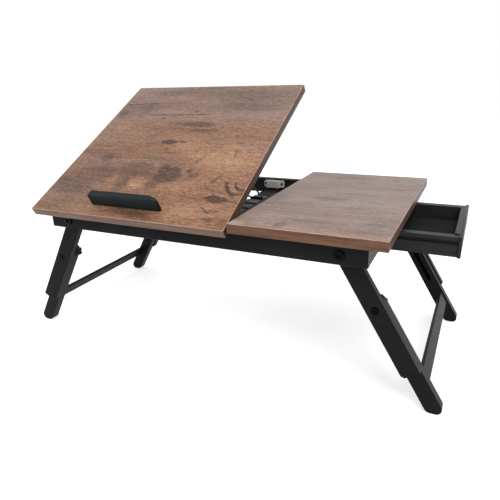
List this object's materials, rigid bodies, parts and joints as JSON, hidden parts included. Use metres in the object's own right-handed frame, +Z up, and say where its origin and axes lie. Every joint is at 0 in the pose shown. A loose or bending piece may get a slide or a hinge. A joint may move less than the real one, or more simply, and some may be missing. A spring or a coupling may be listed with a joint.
{
  "type": "folding bed desk",
  "caption": "Folding bed desk with a tilting top on a ratchet prop, a laptop stop, a side drawer and splayed legs that shorten and fold.",
  "frame": {"origin": "on the floor, under the middle of the desk's frame", "axes": "+X runs along the desk to the drawer end, +Y to the rear where the top lifts, +Z up"},
  "size_m": [0.6976, 0.3559, 0.3968],
  "materials": {
    "walnut_laminate": "rustic brown plank print, satin",
    "black_wood": "satin black lacquer",
    "black_plastic": "moulded, slight sheen",
    "grey_plastic": "moulded, matte",
    "black_steel": "black zinc",
    "bright_steel": "zinc plated"
  },
  "bodies": {
    "frame": {"front_rail": "black_wood", "rear_rail": "black_wood", "side_rail_left": "black_wood", "side_rail_right_front": "black_wood", "side_rail_right_rear": "black_wood", "divider_rail": "black_wood", "drawer_guide_front": "black_wood", "drawer_guide_rear": "black_wood", "drawer_runner_front": "black_wood", "drawer_runner_rear": "black_wood", "side_top": "walnut_laminate", "rack_batten": "black_wood", "magnetic_catch": "grey_plastic", "catch_magnet": "bright_steel", "hinge_fixed_leaves": "bright_steel", "hinge_pins": "bright_steel", "leg_pivot_bolts": "black_steel", "leg_pivot_washers": "bright_steel", "leg_pivot_nuts": "bright_steel"},
    "tilt_lid": {"tilt_top": "walnut_laminate", "laptop_stop": "black_wood", "strike_plate": "bright_steel", "hinge_moving_leaves": "bright_steel", "prop_clips": "bright_steel"},
    "prop": {"tilt_prop": "bright_steel"},
    "drawer": {"drawer_side_front": "black_wood", "drawer_side_rear": "black_wood", "drawer_front": "black_wood", "drawer_back": "black_wood", "drawer_bottom": "black_wood"},
    "left_leg": {"outer_leg_left_front": "black_wood", "outer_leg_left_rear": "black_wood", "clamp_bolts_left": "black_steel", "clamp_washers_left": "bright_steel"},
    "left_foot": {"inner_leg_left_front": "black_wood", "inner_leg_left_rear": "black_wood", "stretcher_left": "black_wood"},
    "right_leg": {"outer_leg_right_front": "black_wood", "outer_leg_right_rear": "black_wood", "clamp_bolts_right": "black_steel", "clamp_washers_right": "bright_steel"},
    "right_foot": {"inner_leg_right_front": "black_wood", "inner_leg_right_rear": "black_wood", "stretcher_right": "black_wood"},
    "knob_left_front": {"knob_left_front": "black_plastic"},
    "knob_left_rear": {"knob_left_rear": "black_plastic"},
    "knob_right_front": {"knob_right_front": "black_plastic"},
    "knob_right_rear": {"knob_right_rear": "black_plastic"}
  },
  "joints": [
    {"name": "left_leg_fold", "type": "hinge", "parent": "frame", "child": "left_leg", "pos_m": [-0.21665, 0, 0.21088], "axis": [0, -1, 0], "range_deg": [0, 113]},
    {"name": "right_leg_fold", "type": "hinge", "parent": "frame", "child": "right_leg", "pos_m": [0.21665, 0, 0.21088], "axis": [0, 1, 0], "range_deg": [0, 113]},
    {"name": "left_leg_shorten", "type": "slide", "parent": "left_leg", "child": "left_foot", "axis": [0.512, 0, 0.859], "range_m": [-0.002, 0.065]},
    {"name": "right_leg_shorten", "type": "slide", "parent": "right_leg", "child": "right_foot", "axis": [-0.512, 0, 0.859], "range_m": [-0.002, 0.065]},
    {"name": "lid_tilt", "type": "hinge", "parent": "frame", "child": "tilt_lid", "pos_m": [0, -0.161, 0.22218], "axis": [1, 0, 0], "range_deg": [-28.5, 23]},
    {"name": "prop_swing", "type": "hinge", "parent": "tilt_lid", "child": "prop", "pos_m": [0, -0.04036, 0.28711], "axis": [1, 0, 0], "range_deg": [-49, 60.5]},
    {"name": "drawer_slide", "type": "slide", "parent": "frame", "child": "drawer", "axis": [1, 0, 0], "range_m": [-0.096, 0.035]},
    {"name": "knob_left_front_turn", "type": "hinge", "parent": "left_leg", "child": "knob_left_front", "pos_m": [-0.25966, -0.12, 0.13872], "axis": [0, 1, 0], "range_deg": [0, 360]},
    {"name": "knob_left_rear_turn", "type": "hinge", "parent": "left_leg", "child": "knob_left_rear", "pos_m": [-0.25966, 0.12, 0.13872], "axis": [0, -1, 0], "range_deg": [0, 360]},
    {"name": "knob_right_front_turn", "type": "hinge", "parent": "right_leg", "child": "knob_right_front", "pos_m": [0.25966, -0.12, 0.13872], "axis": [0, 1, 0], "range_deg": [0, 360]},
    {"name": "knob_right_rear_turn", "type": "hinge", "parent": "right_leg", "child": "knob_right_rear", "pos_m": [0.25966, 0.12, 0.13872], "axis": [0, -1, 0], "range_deg": [0, 360]}
  ],
  "couplings": [
    {"joint": "prop_swing", "follows": "lid_tilt", "ratio": -2.11}
  ]
}
